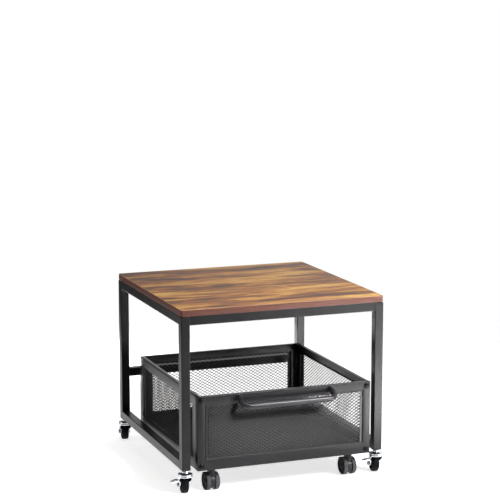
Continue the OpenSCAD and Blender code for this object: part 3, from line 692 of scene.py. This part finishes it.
def makePedal():
    c = casterSpec
    out, thick, radius = c["lever"]
    low, high = (v * mm for v in c["pedalWidth"])
    clearSelection()
    bpy.ops.mesh.primitive_plane_add(size=1, location=(0, (low + high) / 2, 0))
    pedal = nameNew("brakePedal")
    pedal.scale = (1 * mm, high - low, 1)
    settle(pedal, 0)
    # one long edge of the strip is kept and drawn along the bends
    choose(pedal, "EDGE", lambda e: middle(e).x < -0.4 * mm)
    here = c["pedal"][0]
    bpy.ops.mesh.select_all(action="INVERT")
    bpy.ops.mesh.delete(type="EDGE_FACE")
    choose(pedal, "VERT", lambda v: v.co.x > 0)
    bpy.ops.mesh.delete(type="VERT")
    choose(pedal, "EDGE", lambda e: True)
    push(x=0.5 * mm - here[0] * mm, z=here[1] * mm)
    for there in c["pedal"][1:]:
        pull(x=(here[0] - there[0]) * mm, z=(there[1] - here[1]) * mm)
        here = there
    bends = [p[0] * mm for p in c["pedal"][1:-1]]
    choose(pedal, "VERT", lambda v: v.co.x < -(c["pedal"][-1][0] - 0.1) * mm)
    bpy.ops.mesh.bevel(offset=c["pedalTip"] * mm, segments=8, affect="VERTICES")
    choose(pedal, "EDGE", lambda e: len(e.link_faces) == 2 and e.calc_face_angle() > 0.1
           and any(abs(-middle(e).x - b) < sameSpot for b in bends))
    bpy.ops.mesh.bevel(offset=c["pedalBend"] * mm, segments=4, affect="EDGES")
    flangeFrom, flangeDeep = c["pedalFlange"]
    choose(pedal, "EDGE", lambda e: all(abs(v.co.y - low) < sameSpot and v.co.x < -flangeFrom * mm
                                        for v in e.verts))
    pull(z=-flangeDeep * mm)
    choose(pedal, "EDGE", lambda e: len(e.link_faces) == 2 and abs(middle(e).y - low) < sameSpot
           and e.calc_face_angle() > steep)
    bpy.ops.mesh.bevel(offset=c["flangeBend"] * mm, segments=3, affect="EDGES")
    modify(pedal, "SOLIDIFY", thickness=thick * mm, offset=0)
    modify(pedal, "BEVEL", width=c["pedalEdge"] * mm, segments=2, limit_method="ANGLE", angle_limit=sharp)
    settle(pedal, 0)
    edge, half, bore = c["pedalEdge"], thick / 2, c["axle"] + c["leverGap"]
    ring = turned("leverRing", [(radius - edge, -half), (radius, edge - half), (radius, half - edge),
                                (radius - edge, half), (bore, half), (bore, -half),
                                (radius - edge, -half)], 40)
    put(ring, (-out * mm, c["trail"] * mm, c["axleHeight"] * mm), (0, math.pi / 2, 0))
    return settle(merge(pedal, ring), 35)


def makeFrameCasters():
    c = casterSpec
    side = c["wheelSide"]
    wheel = turned("casterWheel", side + [(r, -h) for r, h in reversed(side)] + side[:1], 64)
    settle(alongAxle(wheel, c["trail"], c["axleHeight"]), 30)
    fork, pedal = makeFork(), makePedal()
    stem = settle(turned("casterStem", c["stem"], 48), 35)
    axles = {-1: makeAxle(c["leverRoom"]), 1: makeAxle(0)}
    stems = []
    for name, (sx, sy) in corners.items():
        place = (sx * c["post"] * mm, sy * c["post"] * mm, 0)
        stems.append(copyOf(stem, "casterStem_" + name, place, c["turn"]))
        for piece, body, finish, slot, node in (
                (fork, "caster_", brightZinc, "zinc", "fork_"),
                (axles[sy], "caster_", plainSteel, "steel", "axle_"),
                (wheel, "caster_wheel_", wheelBlack, "wheel", "wheel_")):
            copy = copyOf(piece, piece.name.split(".")[0] + "_" + name, place, c["turn"])
            dress(copy, finish, body + name, slot, node + name)
        if sy < 0:
            copy = copyOf(pedal, "brakePedal_" + name, place, c["turn"])
            dress(copy, brightZinc, "brake_" + name, "zinc", "brake_lever_" + name)
    allStems = merge(*stems)
    allStems.name = "casterStems"
    dress(allStems, brightZinc, "stand_frame", "zinc", "caster_stems")
    for piece in (wheel, fork, pedal, stem, *axles.values()):
        discard(piece)


makeFrameCasters()
print("frame casters made")

# Drawer casters: twin black wheels under a moulded hood
dollySpec = {
    "x": 206.5, "y": {-1: -278, 1: 192}, "trail": 9, "axleHeight": 25,
    "wheel": [(3.1, 15.5), (3.1, 7), (24.2, 7), (24.8, 7.3), (25, 8), (25, 16), (24.7, 17.4), (24.0, 18.6),
              (23.0, 19.5), (21.8, 20), (21.0, 20), (20.5, 19.5), (19.9, 18.2), (18.6, 17.3), (17, 17),
              (9.4, 17), (8.2, 17.3), (7.5, 18.1), (7.3, 19.2), (6.7, 19.8), (5.6, 20), (2.0, 20)],
    "web": [(21.3, -6.2), (22.3, -5.9), (22.8, -5.2), (22.8, 5.2), (22.3, 5.9), (21.3, 6.2)], "webLow": 8,
    "boss": [(9, 40), (9, 62.5), (8.6, 63.8), (7.6, 64.5), (5.1, 64.5), (5.1, 40), (9, 40)],
    "fender": (26.5, 2.5, 17.5), "fenderSpan": 84, "neck": (12.4, 30, 12), "neckForward": 2, "edge": 0.8,
}


def makeHood():
    d = dollySpec
    inner, thick, half = d["fender"]
    centre = (0, d["trail"] * mm, d["axleHeight"] * mm)
    web = alongAxle(turned("drawerHood", d["web"], 48), d["trail"], d["axleHeight"])
    choose(web, "VERT", lambda v: True)
    bpy.ops.mesh.bisect(plane_co=(0, 0, d["webLow"] * mm), plane_no=(0, 0, -1), clear_outer=True,
                        use_fill=True)
    modify(web, "BEVEL", width=d["edge"] * mm, segments=2, limit_method="ANGLE", angle_limit=sharp)
    settle(web, 0)
    clearSelection()
    above = (0, d["trail"] * mm, (d["axleHeight"] + inner + thick / 2) * mm)
    bpy.ops.mesh.primitive_plane_add(size=1, location=above, rotation=(math.pi / 2, 0, 0))
    fender = nameNew("hoodFender")
    fender.scale = (2 * half * mm, thick * mm, 1)
    settle(fender, 0)
    span = math.radians(d["fenderSpan"])
    choose(fender, "FACE", lambda f: True)
    bpy.ops.transform.rotate(value=span / 2, orient_axis="X", center_override=centre)
    towards = 1 if min(v.co.y for v in bmesh.from_edit_mesh(fender.data).verts) < centre[1] else -1
    bpy.ops.mesh.spin(steps=18, angle=-towards * span, center=centre, axis=(1, 0, 0))
    bpy.ops.mesh.select_all(action="SELECT")
    bpy.ops.mesh.remove_doubles(threshold=0.01 * mm)
    bpy.ops.mesh.normals_make_consistent(inside=False)
    modify(fender, "BEVEL", width=d["edge"] * mm, segments=3, limit_method="ANGLE", angle_limit=sharp)
    settle(fender, 0)
    boss = turned("hoodBoss", d["boss"], 40)
    clearSelection()
    wide, deep, tall = d["neck"]
    neckPlace = (0, (d["trail"] - d["neckForward"]) * mm, (d["axleHeight"] + inner - tall / 2) * mm)
    bpy.ops.mesh.primitive_cube_add(size=1, location=neckPlace)
    neck = nameNew("hoodNeck")
    neck.scale = (wide * mm, deep * mm, tall * mm)
    settle(neck, 0)
    modify(neck, "BEVEL", width=d["edge"] * mm, segments=2)
    settle(neck, 0)
    return settle(merge(web, fender, boss, neck), 35)


def makeDrawerCasters():
    d = dollySpec
    wheels = {"r": settle(alongAxle(turned("twinWheel_r", d["wheel"], 56), d["trail"], d["axleHeight"]), 30)}
    wheels["l"] = put(copyOf(wheels["r"], "twinWheel_l"), (0, 2 * d["trail"] * mm, 0), (0, 0, math.pi))
    hood = makeHood()
    for name, (sx, sy) in corners.items():
        place = (sx * d["x"] * mm, d["y"][sy] * mm, 0)
        dress(copyOf(hood, "drawerHood_" + name, place), nylonBlack, "drawer_caster_" + name, "plastic",
              "hood_" + name)
        for side, wheel in wheels.items():
            end = name + "_" + side
            dress(copyOf(wheel, "twinWheel_" + end, place), nylonTreadPaintedLight, "drawer_wheel_" + end, "wheel",
                  "dolly_wheel_" + end)
    for piece in (hood, *wheels.values()):
        discard(piece)


makeDrawerCasters()
print("drawer casters made")

# Corner bolts: broad round heads with a hexagon socket outside, nuts inside, and the handle's two screws
boltSpec = {
    "head": [(7.1, 0), (7.5, 0.3), (7.5, 0.9), (7.2, 1.6), (6.3, 2.5), (4.9, 3.2), (3.6, 3.5)],
    "socket": (2.6, 1.9), "shank": [(2.5, -8), (2.5, 0)], "nut": (4.6, 4, -7), "nutEdge": 0.4,
    "x": 246.5, "heights": (80, 264.5), "screwHead": [(3.7, 1.5), (4, 1.8), (4, 2.8), (3.4, 3.6), (2.2, 4)],
}


def makeBolts():
    b, d, h = boltSpec, drawerSpec, handleSpec
    head = turned("cornerBolt", b["head"], 36)
    across, deep = b["socket"]
    clearSelection()
    bpy.ops.mesh.primitive_cylinder_add(vertices=6, radius=across * mm, depth=2 * deep * mm,
                                        location=(0, 0, b["head"][-1][1] * mm))
    socket = nameNew("hexSocket")
    settle(socket, 0)
    modify(head, "BOOLEAN", operation="DIFFERENCE", object=socket, solver="EXACT")
    settle(head, 0)
    discard(socket)
    radius, tall, low = b["nut"]
    clearSelection()
    bpy.ops.mesh.primitive_cylinder_add(vertices=6, radius=radius * mm, depth=tall * mm,
                                        location=(0, 0, (low + tall / 2) * mm))
    nut = nameNew("boltNut")
    settle(nut, 0)
    choose(nut, "EDGE", isLevel)
    bpy.ops.mesh.bevel(offset=b["nutEdge"] * mm, segments=2, affect="EDGES")
    settle(nut, 0)
    bolt = merge(head, turned("boltShank", b["shank"], 20), nut)
    screw = turned("handleScrew", b["screwHead"], 28)
    put(bolt, turn=(math.pi / 2, 0, 0))
    put(screw, turn=(-math.pi / 2, 0, 0))
    pieces = []
    for end, turn in ((d["front"], 0), (d["rear"], math.pi)):
        for side in (-1, 1):
            for height in b["heights"]:
                pieces.append(copyOf(bolt, "cornerBolt_copy", (side * b["x"] * mm, end, height * mm), turn))
    for side in (-1, 1):
        pieces.append(copyOf(screw, "handleScrew_copy", (side * h["half"], d["front"], h["height"])))
    discard(bolt)
    discard(screw)
    bolts = merge(*pieces)
    bolts.name = "cornerBolts"
    settle(bolts, 35)
    dress(bolts, blackZinc, "drawer", "black_zinc", "drawer_bolts")


makeBolts()
print("bolts made")

# Stage: pale floor, soft light and the camera
stageSpec = {
    "floorRadius": 2.6, "floorFade": (0.9, 2.4), "floorColour": "#f6f6f6",
    "dimSide": 0.1, "skyLight": 0.2, "floorGlow": 0.74, "openFrom": (-0.1, 0.48),
    "camera": (-1.6743, -4.4455, 1.4097), "tilt": 80.547, "turn": -20.770, "lens": 119.31,
    "lights": [   # name, place, size, power, spread in degrees, aim
        ("keySoftbox", (1.0, -1.8, 1.6), 0.85, 3.2, 24, (0.0, -0.38, 0.1)),
        ("floorSoftbox", (0.8, -1.08, 0.42), 0.6, 38, 100, (0.8, -1.07, 0.0)),
        ("backSoftbox", (-0.2, 1.45, 0.4), 0.5, 9, 85, (-0.2, 1.46, 0.0)),
        ("railSoftbox", (1.4, -2.5, 0.14), 0.6, 7, 180, (0.2, -0.3, 0.45)),
        ("topSoftbox", (0.3, -0.2, 2.4), 1.4, 33, 180, (0.0, 0.0, 0.3)),
        ("sideSoftbox", (-2.5, 0.5, 1.1), 1.2, 14, 180, (0.0, 0.0, 0.4)),
    ],
}


def makeFloor():
    clearSelection()
    bpy.ops.mesh.primitive_circle_add(vertices=96, radius=stageSpec["floorRadius"], fill_type="NGON")
    floor = nameNew("paleFloor")
    settle(floor, 0)
    material, surface, place = startMaterial("paleFloorPaint", Roughness=0.9)
    surface.inputs["Base Color"].default_value = linearColour(stageSpec["floorColour"])
    surface.inputs["Specular IOR Level"].default_value = 0.0
    away = addNode(material, "ShaderNodeVectorMath", {"operation": "LENGTH"}, {0: place}).outputs["Value"]
    near, far = stageSpec["floorFade"]
    fade = addNode(material, "ShaderNodeMapRange",
                   {"interpolation_type": "SMOOTHSTEP", "From Min": near, "From Max": far,
                    "To Min": 1.0, "To Max": 0.0}, {"Value": away})
    link(material, fade.outputs["Result"], surface, "Alpha")
    path = addNode(material, "ShaderNodeLightPath")
    mirrored = addNode(material, "ShaderNodeMath", {"operation": "MAXIMUM"},
                       {0: path.outputs["Is Glossy Ray"], 1: path.outputs["Is Transmission Ray"]})
    seen = addNode(material, "ShaderNodeMath", {"operation": "MAXIMUM"},
                   {0: path.outputs["Is Camera Ray"], 1: mirrored.outputs["Value"]})
    glow = addNode(material, "ShaderNodeMath", {"operation": "MULTIPLY", 1: stageSpec["floorGlow"]},
                   {0: seen.outputs["Value"]})
    surface.inputs["Emission Color"].default_value = (1, 1, 1, 1)
    link(material, glow.outputs["Value"], surface, "Emission Strength")
    floor.data.materials.append(material)


# White for the camera; for the lighting a studio that is open to the right and dim on the left
def makeSky():
    world = bpy.data.worlds.new("studio")
    bpy.context.scene.world = world
    world.use_nodes = True
    tree = world.node_tree
    sky = tree.nodes["Background"]
    across = addNode(world, "ShaderNodeTexCoord").outputs["Generated"]
    side = addNode(world, "ShaderNodeSeparateXYZ", None, {"Vector": across}).outputs["X"]
    dim, bright = stageSpec["openFrom"]
    opening = addNode(world, "ShaderNodeMapRange",
                      {"interpolation_type": "SMOOTHSTEP", "From Min": dim, "From Max": bright,
                       "To Min": stageSpec["dimSide"], "To Max": 1.0}, {"Value": side})
    path = addNode(world, "ShaderNodeLightPath")
    glossy = addNode(world, "ShaderNodeMath", {"operation": "MAXIMUM"},
                     {0: path.outputs["Is Glossy Ray"], 1: path.outputs["Is Transmission Ray"]})
    level = addNode(world, "ShaderNodeMapRange", {"To Min": stageSpec["skyLight"], "To Max": 1.0},
                    {"Value": glossy.outputs["Value"]})
    light = addNode(world, "ShaderNodeMath", {"operation": "MULTIPLY"},
                    {0: opening.outputs["Result"], 1: level.outputs["Result"]})
    shown = addNode(world, "ShaderNodeMath", {"operation": "MAXIMUM"},
                    {0: light.outputs["Value"], 1: path.outputs["Is Camera Ray"]})
    sky.inputs["Color"].default_value = (1, 1, 1, 1)
    tree.links.new(shown.outputs["Value"], sky.inputs["Strength"])


def makeStage():
    makeFloor()
    makeSky()
    for name, place, size, power, spread, aim in stageSpec["lights"]:
        bpy.ops.object.light_add(type="AREA", location=place)
        lamp = bpy.context.active_object
        lamp.name = name
        lamp.data.energy = power
        lamp.data.size = size
        lamp.data.spread = math.radians(spread)
        lamp.rotation_euler = (Vector(aim) - Vector(place)).to_track_quat("-Z", "Y").to_euler()
    bpy.ops.object.camera_add(location=stageSpec["camera"],
                              rotation=(math.radians(stageSpec["tilt"]), 0, math.radians(stageSpec["turn"])))
    camera = bpy.context.active_object
    camera.name = "photoCamera"
    camera.data.lens = stageSpec["lens"]
    camera.data.sensor_width = 36
    camera.data.clip_end = 60
    bpy.context.scene.camera = camera
    bpy.context.scene.view_settings.view_transform = "Standard"


makeStage()
print("stage set")
